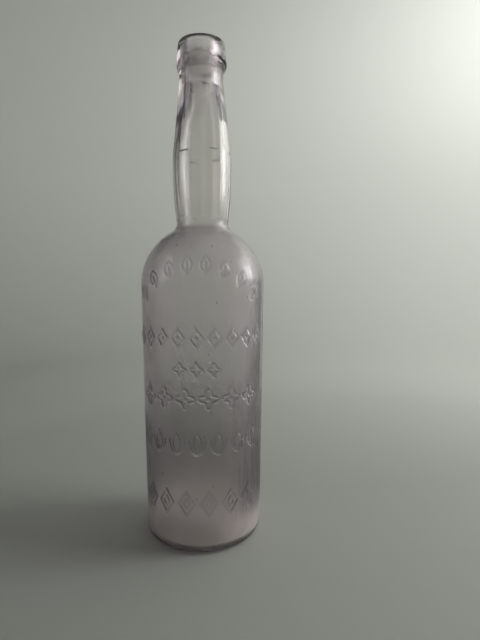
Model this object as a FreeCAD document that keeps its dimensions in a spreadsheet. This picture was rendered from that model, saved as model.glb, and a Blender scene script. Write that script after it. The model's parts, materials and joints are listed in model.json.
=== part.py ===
"""Antique cork-topped bottle: a mould-blown glass body and the lip laid round its neck.

Both pieces are turned about Z, with the origin at the centre of the ring that the
bottle stands on. Heights are stacked from that ring upwards, so a change of one
carries everything above it. Sizes are in millimetres.
"""
import FreeCAD, Part
import math
import os
import Sketcher

# Driving sizes: alias, value, what it measures.
SIZES = [
    ("foot_inner_diameter", 46.0, "hollow of the push-up, at the ring the bottle stands on"),
    ("kick_height", 8.0, "rise of the push-up at the middle of the base"),
    ("heel_radius", 5.0, "rounding between base and wall"),
    ("base_diameter", 66.7, "wall at the heel"),
    ("shoulder_diameter", 70.4, "wall where the shoulder starts"),
    ("body_height", 145.0, "base to the start of the shoulder, a half dome as wide as the wall"),
    ("root_radius", 6.0, "hollow curve where shoulder meets neck"),
    ("belly_rise", 65.0, "start of the shoulder to the widest part of the neck"),
    ("belly_diameter", 33.1, "widest part of the neck"),
    ("belly_curve_radius", 212.0, "long curve of the swelling neck"),
    ("crease_rise", 11.0, "widest part of the neck to the crease above it"),
    ("ledge_depth", 0.45, "step in at the crease"),
    ("ledge_height", 3.0, "length over which the crease steps in"),
    ("taper_length", 34.5, "tapered upper neck"),
    ("neck_top_diameter", 24.6, "neck just under the lip"),
    ("straight_length", 5.8, "straight neck between taper and lip"),
    ("neck_end_diameter", 22.0, "sheared end of the neck, inside the lip"),
    ("seat_depth", 7.5, "how far the neck reaches up into the lip"),
    ("seat_clearance", 0.03, "room between the lip's socket and the neck"),
    ("lip_height", 15.0, "underside of the lip to its top"),
    ("lip_toe", 0.3, "how far the lip's lower edge stands out from the neck"),
    ("lip_overhang", 1.36, "how far the lip's widest part stands out from the neck"),
    ("lip_top_overhang", 0.6, "how far the lip's top edge stands out from the neck"),
    ("tuck_height", 4.0, "rounded lower part of the lip"),
    ("lip_edge_radius", 1.2, "outer edge of the top"),
    ("mouth_edge_radius", 1.5, "inner edge of the top"),
    ("mouth_bore_diameter", 14.4, "mouth, where a cork would seat"),
    ("bore_depth", 16.0, "straight bore below the end of the neck"),
    ("throat_length", 20.0, "funnel between the neck's inside and the bore"),
    ("wall_thickness", 3.2, "wall of the body"),
    ("neck_wall", 2.6, "wall of the neck"),
    ("base_thickness", 4.0, "glass over the push-up"),
    ("inner_heel_radius", 4.0, "rounding between floor and wall inside"),
]

# Levels above the ring, and sizes that two profiles share, worked out from the driving sizes.
DERIVED = [
    ("kick_dome_radius", "=(Sizes.foot_inner_diameter ^ 2 / 4 + Sizes.kick_height ^ 2)"
                         " / (2 * Sizes.kick_height)"),
    ("belly_level", "=Sizes.body_height + Sizes.belly_rise"),
    ("crease_level", "=belly_level + Sizes.crease_rise"),
    ("taper_foot_level", "=crease_level + Sizes.ledge_height"),
    ("taper_top_level", "=taper_foot_level + Sizes.taper_length"),
    ("lip_level", "=taper_top_level + Sizes.straight_length"),
    ("neck_end_level", "=lip_level + Sizes.seat_depth"),
    ("mouth_level", "=lip_level + Sizes.lip_height"),
    ("bore_foot_level", "=neck_end_level - Sizes.bore_depth"),
    ("throat_foot_level", "=bore_foot_level - Sizes.throat_length"),
    ("belly_centre_radius", "=Sizes.belly_diameter / 2 - Sizes.belly_curve_radius"),
    ("taper_foot_radius", "=belly_centre_radius - Sizes.ledge_depth"
                          " + sqrt(Sizes.belly_curve_radius ^ 2 - Sizes.crease_rise ^ 2)"),
    ("throat_foot_radius", "=Sizes.neck_top_diameter / 2 - Sizes.neck_wall"
                           " + (taper_foot_radius - Sizes.neck_top_diameter / 2)"
                           " * (taper_top_level - throat_foot_level) / Sizes.taper_length"),
]

START, END, CENTRE = range(1, 4)
H_AXIS, V_AXIS = range(-1, -3, -1)
ORIGIN = (H_AXIS, START)


def add_sheet(doc, name, rows):
    """A sheet with one named cell for each row."""
    sheet = doc.addObject("Spreadsheet::Sheet", name)
    for number, (alias, value, *note) in enumerate(rows, start=1):
        sheet.set(f"A{number}", alias)
        sheet.set(f"B{number}", str(value))
        sheet.setAlias(f"B{number}", alias)
        if note:
            sheet.set(f"C{number}", note[0])
    doc.recompute()
    return sheet


def add_sketch(body, name):
    """A sketch on the body's XZ plane: x is the radius, y is the height."""
    sketch = body.newObject("Sketcher::SketchObject", name)
    planes = {plane.Role: plane for plane in body.Origin.OriginFeatures}
    sketch.AttachmentSupport = [(planes["XZ_Plane"], "")]
    sketch.MapMode = "FlatFace"
    return sketch


def point(x, y):
    return FreeCAD.Vector(x, y, 0)


def toward(centre, other, distance):
    """The point at a distance from centre, on the way to another point."""
    return centre + (other - centre).normalize() * distance


def rolling_centre(left, left_reach, right, right_reach):
    """The outer meeting point of two circles: where a fillet's centre lies."""
    gap = (right - left).Length
    along = (gap ** 2 + left_reach ** 2 - right_reach ** 2) / (2 * gap)
    across = math.sqrt(left_reach ** 2 - along ** 2)
    way = (right - left).normalize()
    meets = [left + way * along + point(-way.y, way.x) * side * across for side in (1, -1)]
    return max(meets, key=lambda meet: meet.x)


def draw_loop(sketch, pieces):
    """Draw lines (two points) and arcs (start, centre, end) in turn around the glass.

    Returns each piece's index with its first and last point, because an arc's own
    start is always its clockwise end.
    """
    drawn = []
    for piece in pieces:
        if len(piece) == 2:
            index = sketch.addGeometry(Part.LineSegment(*piece), False)
            drawn.append((index, START, END))
            continue
        first, centre, last = piece
        a, b = first - centre, last - centre
        clockwise = a.x * b.y - a.y * b.x < 0
        low, high = (b, a) if clockwise else (a, b)
        circle = Part.Circle(centre, FreeCAD.Vector(0, 0, 1), a.Length)
        angles = [math.atan2(ray.y, ray.x) for ray in (low, high)]
        index = sketch.addGeometry(Part.ArcOfCircle(circle, *angles), False)
        drawn.append((index, END, START) if clockwise else (index, START, END))
    return drawn


def join_loop(sketch, drawn, smooth):
    """Join each piece to the next: tangent where its number is in smooth, else a corner."""
    for number, (index, _, last) in enumerate(drawn):
        other, first, _ = drawn[(number + 1) % len(drawn)]
        kind = "Tangent" if number in smooth else "Coincident"
        sketch.addConstraint(Sketcher.Constraint(kind, index, last, other, first))


def where(sketch, spot):
    return sketch.getPoint(*spot)


def bind(sketch, kind, spot, formula):
    """A size on a point (DistanceX, DistanceY) or a curve (Radius), bound to the sheets."""
    if kind == "Radius":
        constraint = Sketcher.Constraint(kind, spot[0], sketch.Geometry[spot[0]].Radius)
    else:
        value = where(sketch, spot).x if kind == "DistanceX" else where(sketch, spot).y
        constraint = Sketcher.Constraint(kind, *ORIGIN, *spot, value)
    number = sketch.addConstraint(constraint)
    sketch.setExpression(f"Constraints[{number}]", formula)


def place(sketch, spot, radius, level):
    """Hold a point at a radius and a level."""
    bind(sketch, "DistanceX", spot, radius)
    bind(sketch, "DistanceY", spot, level)


def on_axis(sketch, spot, axis=V_AXIS):
    sketch.addConstraint(Sketcher.Constraint("PointOnObject", *spot, axis))


def level_line(sketch, index):
    sketch.addConstraint(Sketcher.Constraint("Horizontal", index))


def upright_line(sketch, index):
    sketch.addConstraint(Sketcher.Constraint("Vertical", index))


def turn(body, kind, name, sketch):
    """Turn a profile a full circle about its upright axis."""
    feature = body.newObject(kind, name)
    feature.Profile = sketch
    feature.ReferenceAxis = (sketch, ["V_Axis"])
    feature.Angle = 360.0
    body.Document.recompute()
    return feature


def draw_outside(body, size, level):
    """Base, wall, domed shoulder, swelling neck and the drawn-in end that the lip covers."""
    base, shoulder = size.base_diameter / 2, size.shoulder_diameter / 2
    neck_top = size.neck_top_diameter / 2
    kick_centre = point(0, size.kick_height - level.kick_dome_radius)
    heel_centre = point(base - size.heel_radius, size.heel_radius)
    dome_centre = point(0, size.body_height)
    belly_centre = point(level.belly_centre_radius, level.belly_level)
    root_centre = rolling_centre(dome_centre, shoulder + size.root_radius,
                                 belly_centre, size.belly_curve_radius + size.root_radius)
    apex = point(0, size.kick_height)
    foot_inner = point(size.foot_inner_diameter / 2, 0)
    foot_outer = point(heel_centre.x, 0)
    heel_top = point(base, size.heel_radius)
    wall_top = point(shoulder, size.body_height)
    dome_top = toward(dome_centre, root_centre, shoulder)
    root_top = toward(belly_centre, root_centre, size.belly_curve_radius)
    crease = point(level.taper_foot_radius + size.ledge_depth, level.crease_level)
    taper_foot = point(level.taper_foot_radius, level.taper_foot_level)
    taper_top = point(neck_top, level.taper_top_level)
    seat_foot = point(neck_top, level.lip_level)
    neck_end = point(size.neck_end_diameter / 2, level.neck_end_level)
    middle = point(0, level.neck_end_level)

    sketch = add_sketch(body, "outside_profile")
    drawn = draw_loop(sketch, [
        (apex, kick_centre, foot_inner), (foot_inner, foot_outer),
        (foot_outer, heel_centre, heel_top), (heel_top, wall_top),
        (wall_top, dome_centre, dome_top), (dome_top, root_centre, root_top),
        (root_top, belly_centre, crease), (crease, taper_foot), (taper_foot, taper_top),
        (taper_top, seat_foot), (seat_foot, neck_end), (neck_end, middle), (middle, apex)])
    kick, foot, heel, wall, dome, root, belly, ledge, taper, straight, seat, end, _ = drawn
    smooth = [drawn.index(piece) for piece in (foot, heel, wall, dome, root)]
    join_loop(sketch, drawn, smooth)

    first, last = (kick[0], kick[1]), (kick[0], kick[2])
    on_axis(sketch, (kick[0], CENTRE))
    on_axis(sketch, first)
    bind(sketch, "DistanceY", first, "Sizes.kick_height")
    on_axis(sketch, last, H_AXIS)
    bind(sketch, "DistanceX", last, "Sizes.foot_inner_diameter / 2")
    level_line(sketch, foot[0])
    bind(sketch, "Radius", heel, "Sizes.heel_radius")
    bind(sketch, "DistanceX", (wall[0], START), "Sizes.base_diameter / 2")
    place(sketch, (wall[0], END), "Sizes.shoulder_diameter / 2", "Sizes.body_height")
    on_axis(sketch, (dome[0], CENTRE))
    bind(sketch, "Radius", root, "Sizes.root_radius")
    place(sketch, (belly[0], CENTRE), "Derived.belly_centre_radius", "Derived.belly_level")
    bind(sketch, "Radius", belly, "Sizes.belly_curve_radius")
    bind(sketch, "DistanceY", (belly[0], END), "Derived.crease_level")
    place(sketch, (taper[0], START), "Derived.taper_foot_radius", "Derived.taper_foot_level")
    place(sketch, (taper[0], END), "Sizes.neck_top_diameter / 2", "Derived.taper_top_level")
    upright_line(sketch, straight[0])
    bind(sketch, "DistanceY", (straight[0], END), "Derived.lip_level")
    place(sketch, (seat[0], END), "Sizes.neck_end_diameter / 2", "Derived.neck_end_level")
    level_line(sketch, end[0])
    on_axis(sketch, (end[0], END))
    return sketch


def draw_inside(body, size, level):
    """Floor over the push-up, wall, shoulder and neck inside, then the funnel to the bore."""
    base = size.base_diameter / 2 - size.wall_thickness
    shoulder = size.shoulder_diameter / 2 - size.wall_thickness
    root_radius = size.root_radius + size.neck_wall
    belly_radius = size.belly_curve_radius - size.neck_wall
    floor_radius = level.kick_dome_radius + size.base_thickness
    bore = size.mouth_bore_diameter / 2
    floor_centre = point(0, size.kick_height - level.kick_dome_radius)
    heel_reach = floor_radius + size.inner_heel_radius
    heel_offset = base - size.inner_heel_radius
    heel_rise = math.sqrt(heel_reach ** 2 - heel_offset ** 2)
    heel_centre = point(heel_offset, floor_centre.y + heel_rise)
    dome_centre = point(0, size.body_height)
    belly_centre = point(level.belly_centre_radius, level.belly_level)
    root_centre = rolling_centre(dome_centre, shoulder + root_radius,
                                 belly_centre, belly_radius + root_radius)
    apex = point(0, size.kick_height + size.base_thickness)
    floor_edge = toward(floor_centre, heel_centre, floor_radius)
    heel_top = point(base, heel_centre.y)
    wall_top = point(shoulder, size.body_height)
    dome_top = toward(dome_centre, root_centre, shoulder)
    root_top = toward(belly_centre, root_centre, belly_radius)
    crease_reach = math.sqrt(belly_radius ** 2 - size.crease_rise ** 2)
    crease = point(belly_centre.x + crease_reach, level.crease_level)
    throat_foot = point(level.throat_foot_radius, level.throat_foot_level)
    bore_foot = point(bore, level.bore_foot_level)
    bore_top = point(bore, level.mouth_level)
    middle = point(0, level.mouth_level)

    sketch = add_sketch(body, "inside_profile")
    drawn = draw_loop(sketch, [
        (apex, floor_centre, floor_edge), (floor_edge, heel_centre, heel_top),
        (heel_top, wall_top), (wall_top, dome_centre, dome_top),
        (dome_top, root_centre, root_top), (root_top, belly_centre, crease),
        (crease, throat_foot), (throat_foot, bore_foot), (bore_foot, bore_top),
        (bore_top, middle), (middle, apex)])
    floor, heel, wall, dome, root, belly, taper, throat, bore_side, top, _ = drawn
    smooth = [drawn.index(piece) for piece in (floor, heel, wall, dome, root)]
    join_loop(sketch, drawn, smooth)

    first = (floor[0], floor[1])
    on_axis(sketch, (floor[0], CENTRE))
    on_axis(sketch, first)
    bind(sketch, "DistanceY", first, "Sizes.kick_height + Sizes.base_thickness")
    bind(sketch, "Radius", floor, "Derived.kick_dome_radius + Sizes.base_thickness")
    bind(sketch, "Radius", heel, "Sizes.inner_heel_radius")
    bind(sketch, "DistanceX", (wall[0], START), "Sizes.base_diameter / 2 - Sizes.wall_thickness")
    place(sketch, (wall[0], END),
          "Sizes.shoulder_diameter / 2 - Sizes.wall_thickness", "Sizes.body_height")
    on_axis(sketch, (dome[0], CENTRE))
    bind(sketch, "Radius", root, "Sizes.root_radius + Sizes.neck_wall")
    place(sketch, (belly[0], CENTRE), "Derived.belly_centre_radius", "Derived.belly_level")
    bind(sketch, "Radius", belly, "Sizes.belly_curve_radius - Sizes.neck_wall")
    bind(sketch, "DistanceY", (belly[0], END), "Derived.crease_level")
    place(sketch, (taper[0], END), "Derived.throat_foot_radius", "Derived.throat_foot_level")
    place(sketch, (throat[0], END), "Sizes.mouth_bore_diameter / 2", "Derived.bore_foot_level")
    upright_line(sketch, bore_side[0])
    bind(sketch, "DistanceY", (bore_side[0], END), "Derived.mouth_level")
    level_line(sketch, top[0])
    on_axis(sketch, (top[0], END))
    return sketch


def make_body(doc, size, level):
    """The blown body: the outside form, hollowed from floor to mouth."""
    body = doc.addObject("PartDesign::Body", "glass_body")
    outside = turn(body, "PartDesign::Revolution", "outside_form", draw_outside(body, size, level))
    inside = turn(body, "PartDesign::Groove", "cavity", draw_inside(body, size, level))
    if inside.Shape.Volume > 0.6 * outside.Shape.Volume:
        raise RuntimeError("the cavity was not cut")
    return body


def draw_lip(body, size, level):
    """Section of the lip: rounded tuck-in, upright side, flat top, bore and socket."""
    neck_top = size.neck_top_diameter / 2
    bore = size.mouth_bore_diameter / 2
    toe_inner = point(neck_top + size.seat_clearance, level.lip_level)
    toe_outer = point(neck_top + size.lip_toe, level.lip_level)
    bulge = point(neck_top + size.lip_overhang, level.lip_level + size.tuck_height)
    inward = bulge.x - toe_outer.x
    tuck_radius = (size.tuck_height ** 2 + inward ** 2) / (2 * inward)
    tuck_centre = point(bulge.x - tuck_radius, bulge.y)
    top_outer = point(neck_top + size.lip_top_overhang, level.mouth_level)
    top_inner = point(bore, level.mouth_level)
    seat_inner = point(bore, level.neck_end_level)
    seat_outer = point(size.neck_end_diameter / 2 + size.seat_clearance, level.neck_end_level)

    sketch = add_sketch(body, "lip_section")
    drawn = draw_loop(sketch, [
        (toe_inner, toe_outer), (toe_outer, tuck_centre, bulge), (bulge, top_outer),
        (top_outer, top_inner), (top_inner, seat_inner), (seat_inner, seat_outer),
        (seat_outer, toe_inner)])
    toe, tuck, side, top, bore_side, seat, _ = drawn
    join_loop(sketch, drawn, [drawn.index(tuck)])

    place(sketch, (toe[0], START), "Sizes.neck_top_diameter / 2 + Sizes.seat_clearance",
          "Derived.lip_level")
    level_line(sketch, toe[0])
    bind(sketch, "DistanceX", (toe[0], END), "Sizes.neck_top_diameter / 2 + Sizes.lip_toe")
    place(sketch, (side[0], START), "Sizes.neck_top_diameter / 2 + Sizes.lip_overhang",
          "Derived.lip_level + Sizes.tuck_height")
    place(sketch, (side[0], END), "Sizes.neck_top_diameter / 2 + Sizes.lip_top_overhang",
          "Derived.mouth_level")
    level_line(sketch, top[0])
    bind(sketch, "DistanceX", (top[0], END), "Sizes.mouth_bore_diameter / 2")
    upright_line(sketch, bore_side[0])
    bind(sketch, "DistanceY", (bore_side[0], END), "Derived.neck_end_level")
    level_line(sketch, seat[0])
    bind(sketch, "DistanceX", (seat[0], END),
         "Sizes.neck_end_diameter / 2 + Sizes.seat_clearance")
    return sketch


def rim_edge(shape, radius, height):
    """Name of the round edge at a radius and a height."""
    def miss(edge):
        return abs(edge.Curve.Radius - radius) + abs(edge.Curve.Center.z - height)
    rings = [(miss(edge), number) for number, edge in enumerate(shape.Edges, start=1)
             if isinstance(edge.Curve, Part.Circle)]
    return f"Edge{min(rings)[1]}"


def round_rim(body, name, base, radius, height, size_name):
    """Melt one edge of the rim round."""
    fillet = body.newObject("PartDesign::Fillet", name)
    fillet.Base = (base, [rim_edge(base.Shape, radius, height)])
    fillet.setExpression("Radius", f"Sizes.{size_name}")
    body.Document.recompute()
    return fillet


def make_lip(doc, size, level):
    """The applied lip: a ring of glass over the neck's end, its top edges melted round."""
    body = doc.addObject("PartDesign::Body", "applied_lip")
    ring = turn(body, "PartDesign::Revolution", "lip_ring", draw_lip(body, size, level))
    top_radius = size.neck_top_diameter / 2 + size.lip_top_overhang
    outer = round_rim(body, "outer_rim", ring, top_radius, level.mouth_level, "lip_edge_radius")
    round_rim(body, "mouth_rim", outer, size.mouth_bore_diameter / 2, level.mouth_level,
              "mouth_edge_radius")
    return body


def check(doc, bodies):
    """Stop on any failed object, loose sketch, or empty or broken piece."""
    for thing in doc.Objects:
        if {"Invalid", "Error"} & set(thing.State):
            raise RuntimeError(f"{thing.Name} failed: {thing.State}")
        if thing.isDerivedFrom("Sketcher::SketchObject") and not thing.FullyConstrained:
            raise RuntimeError(f"{thing.Name} is not fully constrained")
    for body in bodies:
        if body.Shape.isNull() or not body.Shape.isValid() or len(body.Shape.Solids) != 1:
            raise RuntimeError(f"{body.Label} is not one sound solid")


def main():
    doc = FreeCAD.newDocument("bottle")
    size = add_sheet(doc, "Sizes", SIZES)
    level = add_sheet(doc, "Derived", DERIVED)
    bodies = [make_body(doc, size, level), make_lip(doc, size, level)]
    doc.recompute()
    check(doc, bodies)
    os.makedirs("parts", exist_ok=True)
    for body in bodies:
        box = body.Shape.optimalBoundingBox(False, False)
        body.Shape.exportStep(f"parts/{body.Label}.step")
        print(f"{body.Label}: {body.Shape.Volume:.0f} mm3, z {box.ZMin:.2f} to {box.ZMax:.2f},"
              f" {box.XLength:.2f} across")


main()
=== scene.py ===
"""Antique cork-topped bottle: faintly amethyst glass, blown in a mould, with an applied lip.

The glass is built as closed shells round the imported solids, with +Z up the bottle's axis and
the moulded front towards -Y. Sizes of the bottle are in millimetres and angles on it are in
degrees from its front, positive to the right. Sizes of the studio are in metres.
"""
from collections import namedtuple
import json
import math

import bpy
from mathutils import Matrix, Vector, noise


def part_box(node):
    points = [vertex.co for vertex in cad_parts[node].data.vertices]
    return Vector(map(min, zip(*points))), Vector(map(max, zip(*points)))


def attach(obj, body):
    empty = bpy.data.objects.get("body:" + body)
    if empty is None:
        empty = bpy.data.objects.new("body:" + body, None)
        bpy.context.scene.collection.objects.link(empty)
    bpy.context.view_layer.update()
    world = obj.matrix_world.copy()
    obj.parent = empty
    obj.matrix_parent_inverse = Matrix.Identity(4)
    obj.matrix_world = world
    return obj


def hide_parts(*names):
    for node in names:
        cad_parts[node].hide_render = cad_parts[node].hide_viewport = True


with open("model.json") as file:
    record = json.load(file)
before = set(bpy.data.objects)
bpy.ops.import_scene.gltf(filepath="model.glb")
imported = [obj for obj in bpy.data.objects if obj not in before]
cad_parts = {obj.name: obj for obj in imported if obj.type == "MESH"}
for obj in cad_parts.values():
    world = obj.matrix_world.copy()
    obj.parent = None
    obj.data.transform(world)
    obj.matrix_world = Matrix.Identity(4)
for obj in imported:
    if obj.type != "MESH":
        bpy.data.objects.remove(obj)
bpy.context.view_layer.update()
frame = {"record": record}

MM = 0.001


def mounts_by_name():
    return {mount["name"]: mount for mount in frame["record"]["mounts"]}


# Sizes read from the frame
_, body_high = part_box("glass_body")
lip_low, lip_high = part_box("applied_lip")
SHOULDER_RADIUS = body_high.x / MM
NECK_END = body_high.z / MM
LIP_FOOT = lip_low.z / MM
MOUTH = lip_high.z / MM
LIP_RADIUS = lip_high.x / MM
BORE_RADIUS = mounts_by_name()["mouth_bore"]["dims"]["r_mm"]

# Outside of the body
KICK_HEIGHT = 8.0
FOOT_INNER = 23.0
KICK_CURVE = (FOOT_INNER ** 2 + KICK_HEIGHT ** 2) / (2 * KICK_HEIGHT)
HEEL_RADIUS = 5.0
BASE_RADIUS = 33.35
BODY_HEIGHT = 145.0
ROOT_RADIUS = 6.0
BELLY_LEVEL = 210.0
BELLY_RADIUS = 16.55
BELLY_CURVE = 212.0
CREASE_LEVEL = 221.0
BROW_HEIGHT = 4.5
LEDGE_DEPTH = 0.45
LEDGE_HEIGHT = 3.0
TAPER_TOP = 258.5
NECK_TOP_RADIUS = 12.3
NECK_END_EDGE = 0.1
NECK_END_RADIUS = BORE_RADIUS + NECK_END_EDGE

# Inside of the body
WALL = 3.2
NECK_WALL = 2.6
BASE_THICKNESS = 3.6
INNER_HEEL_RADIUS = 3.2
BORE_LENGTH = 16.0
THROAT_LENGTH = 20.0
BORE_FOOT = NECK_END - BORE_LENGTH
THROAT_FOOT = BORE_FOOT - THROAT_LENGTH

# Lip
LIP_TOE = 0.15
LIP_TUCK = 4.0
LIP_TOP_OVERHANG = 0.6
LIP_EDGE = 1.2
MOUTH_EDGE = 1.5
FUSED_OVERLAP = 0.06


def rolling_centre(left, left_reach, right, right_reach):
    """Where a fillet's centre lies between two circles, on the side away from the axis."""
    gap = (right - left).length
    along = (gap ** 2 + left_reach ** 2 - right_reach ** 2) / (2 * gap)
    across = math.sqrt(left_reach ** 2 - along ** 2)
    way = (right - left).normalized()
    meets = [left + way * along + Vector((-way.y, way.x)) * side * across for side in (1, -1)]
    return max(meets, key=lambda meet: meet.x)


def toward(centre, other, distance):
    return centre + (other - centre).normalized() * distance


def spot(radius, level):
    return Vector((radius, level))


def on_curve(centre, radius, level):
    """The outer point of a circle at a level."""
    return spot(centre.x + math.sqrt(radius ** 2 - (level - centre.y) ** 2), level)


def run_points(piece, step):
    """Points along a line (two ends) or an arc (start, centre, end), without its last end."""
    if len(piece) == 2:
        first, last = piece
        count = max(1, math.ceil((last - first).length / step))
        return [first.lerp(last, number / count) for number in range(count)]
    first, centre, last = piece
    ray = first - centre
    turn = ray.angle_signed(last - centre)
    count = max(1, math.ceil(abs(turn) * ray.length / step))
    return [centre + Matrix.Rotation(-turn * number / count, 2) @ ray for number in range(count)]


# Centres that the outside and the inside share
KICK_CENTRE = spot(0, KICK_HEIGHT - KICK_CURVE)
DOME_CENTRE = spot(0, BODY_HEIGHT)
BELLY_CENTRE = spot(BELLY_RADIUS - BELLY_CURVE, BELLY_LEVEL)


def outside_pieces():
    """Push-up, standing ring, heel, wall, domed shoulder, swelling neck and its covered end."""
    heel_centre = spot(BASE_RADIUS - HEEL_RADIUS, HEEL_RADIUS)
    root_centre = rolling_centre(DOME_CENTRE, SHOULDER_RADIUS + ROOT_RADIUS,
                                 BELLY_CENTRE, BELLY_CURVE + ROOT_RADIUS)
    apex = spot(0, KICK_HEIGHT)
    foot_inner = spot(FOOT_INNER, 0)
    foot_outer = spot(heel_centre.x, 0)
    heel_top = spot(BASE_RADIUS, HEEL_RADIUS)
    wall_top = spot(SHOULDER_RADIUS, BODY_HEIGHT)
    dome_top = toward(DOME_CENTRE, root_centre, SHOULDER_RADIUS)
    root_top = toward(BELLY_CENTRE, root_centre, BELLY_CURVE)
    crease = on_curve(BELLY_CENTRE, BELLY_CURVE, CREASE_LEVEL)
    brow = on_curve(BELLY_CENTRE, BELLY_CURVE, CREASE_LEVEL - BROW_HEIGHT)
    taper_foot = spot(crease.x - LEDGE_DEPTH, CREASE_LEVEL + LEDGE_HEIGHT)
    taper_top = spot(NECK_TOP_RADIUS, TAPER_TOP)
    seat_foot = spot(NECK_TOP_RADIUS, LIP_FOOT)
    neck_end = spot(NECK_END_RADIUS, NECK_END)
    return {
        "kick": (apex, KICK_CENTRE, foot_inner),
        "foot": (foot_inner, foot_outer),
        "heel": (foot_outer, heel_centre, heel_top),
        "wall": (heel_top, wall_top),
        "dome": (wall_top, DOME_CENTRE, dome_top),
        "root": (dome_top, root_centre, root_top),
        "belly": (root_top, BELLY_CENTRE, brow),
        "brow": (brow, BELLY_CENTRE, crease),
        "ledge": (crease, taper_foot),
        "taper": (taper_foot, taper_top),
        "straight": (taper_top, seat_foot),
        "seat": (seat_foot, neck_end),
        "end": (neck_end, spot(BORE_RADIUS, NECK_END)),
    }


def inside_pieces():
    """From the bore at the end of the neck down to the middle of the floor."""
    floor_curve = KICK_CURVE + BASE_THICKNESS
    base = BASE_RADIUS - WALL
    shoulder = SHOULDER_RADIUS - WALL
    heel_offset = base - INNER_HEEL_RADIUS
    heel_reach = floor_curve + INNER_HEEL_RADIUS
    heel_rise = math.sqrt(heel_reach ** 2 - heel_offset ** 2)
    heel_centre = spot(heel_offset, KICK_CENTRE.y + heel_rise)
    belly_curve = BELLY_CURVE - NECK_WALL
    root_radius = ROOT_RADIUS + NECK_WALL
    root_centre = rolling_centre(DOME_CENTRE, shoulder + root_radius,
                                 BELLY_CENTRE, belly_curve + root_radius)
    crease = on_curve(BELLY_CENTRE, belly_curve, CREASE_LEVEL)
    taper_share = (TAPER_TOP - THROAT_FOOT) / (TAPER_TOP - CREASE_LEVEL - LEDGE_HEIGHT)
    taper_spread = crease.x + NECK_WALL - LEDGE_DEPTH - NECK_TOP_RADIUS
    throat_foot = spot(NECK_TOP_RADIUS + taper_spread * taper_share - NECK_WALL, THROAT_FOOT)
    bore_foot = spot(BORE_RADIUS, BORE_FOOT)
    root_top = toward(BELLY_CENTRE, root_centre, belly_curve)
    dome_top = toward(DOME_CENTRE, root_centre, shoulder)
    wall_top = spot(shoulder, BODY_HEIGHT)
    heel_top = spot(base, heel_centre.y)
    floor_edge = toward(KICK_CENTRE, heel_centre, floor_curve)
    floor = spot(0, KICK_HEIGHT + BASE_THICKNESS)
    return {
        "bore": (spot(BORE_RADIUS, NECK_END), bore_foot),
        "throat": (bore_foot, throat_foot),
        "taper": (throat_foot, crease),
        "belly": (crease, BELLY_CENTRE, root_top),
        "root": (root_top, root_centre, dome_top),
        "dome": (dome_top, DOME_CENTRE, wall_top),
        "wall": (wall_top, heel_top),
        "heel": (heel_top, heel_centre, floor_edge),
        "floor": (floor_edge, KICK_CENTRE, floor),
    }


def lip_pieces():
    """Foot, tucked side, rounded rim and bore of the lip, and the socket that the neck fills."""
    toe_inner = spot(NECK_TOP_RADIUS - FUSED_OVERLAP, LIP_FOOT)
    toe_outer = spot(NECK_TOP_RADIUS + LIP_TOE, LIP_FOOT)
    bulge = spot(LIP_RADIUS, LIP_FOOT + LIP_TUCK)
    inward = bulge.x - toe_outer.x
    tuck_radius = (LIP_TUCK ** 2 + inward ** 2) / (2 * inward)
    tuck_centre = spot(bulge.x - tuck_radius, bulge.y)
    top_radius = NECK_TOP_RADIUS + LIP_TOP_OVERHANG
    side_top = spot(top_radius, MOUTH - LIP_EDGE)
    rim_outer = spot(top_radius - LIP_EDGE, MOUTH)
    rim_inner = spot(BORE_RADIUS + MOUTH_EDGE, MOUTH)
    bore_top = spot(BORE_RADIUS, MOUTH - MOUTH_EDGE)
    seat_inner = spot(BORE_RADIUS, NECK_END - FUSED_OVERLAP)
    seat_outer = spot(NECK_END_RADIUS - FUSED_OVERLAP, NECK_END - FUSED_OVERLAP)
    return {
        "toe": (toe_inner, toe_outer),
        "tuck": (toe_outer, tuck_centre, bulge),
        "side": (bulge, side_top),
        "outer_edge": (side_top, spot(top_radius - LIP_EDGE, MOUTH - LIP_EDGE), rim_outer),
        "top": (rim_outer, rim_inner),
        "mouth_edge": (rim_inner, spot(BORE_RADIUS + MOUTH_EDGE, MOUTH - MOUTH_EDGE), bore_top),
        "bore": (bore_top, seat_inner),
        "step": (seat_inner, seat_outer),
        "socket": (seat_outer, toe_inner),
    }


# How finely each stretch is drawn, in millimetres along it
OUTSIDE_STEPS = {"kick": 2.0, "foot": 1.0, "heel": 0.5, "root": 0.6, "belly": 1.5, "brow": 0.2,
                 "ledge": 0.5, "taper": 1.5, "straight": 1.0, "seat": 1.5, "end": 1.0}
INSIDE_STEPS = {"bore": 1.0, "throat": 0.8, "taper": 1.5, "belly": 1.5, "root": 0.8, "dome": 2.0,
                "wall": 3.0, "heel": 0.8, "floor": 2.0}
LIP_STEP = 0.35

# The wall and the dome are drawn this finely where the ornament is, and with some rows elsewhere
FINE_STEP = 0.31
PLAIN_ROWS = 10

# Columns lie on one grid of angles: every one where the ornament is, and every few elsewhere
GRID_ANGLE = 0.5
PLAIN_COLUMNS = 6
WALL_COLUMNS = 12
LIP_COLUMNS = 3
HALF_TURN = round(180 / GRID_ANGLE)
SEAM_COLUMN = HALF_TURN // 2
SEAM_REACH = 2

# A row of a skin: its place and columns, whether it is inside or hidden, its height up the unrolled wall
Row = namedtuple("Row", "radius level columns inside along haze", defaults=(False, 0.0, 0.0))


def ring_columns(every, spans=()):
    """Grid columns of a ring from the back: every few, the seams', and all within the spans."""
    columns = set(range(-HALF_TURN, HALF_TURN, every))
    for side in (SEAM_COLUMN, -SEAM_COLUMN):
        columns.update(range(side - SEAM_REACH, side + SEAM_REACH + 1))
    for low, high in spans:
        columns.update(range(math.floor(low), math.ceil(high) + 1))
    return sorted(columns)


PLAIN = ring_columns(PLAIN_COLUMNS)


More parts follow.
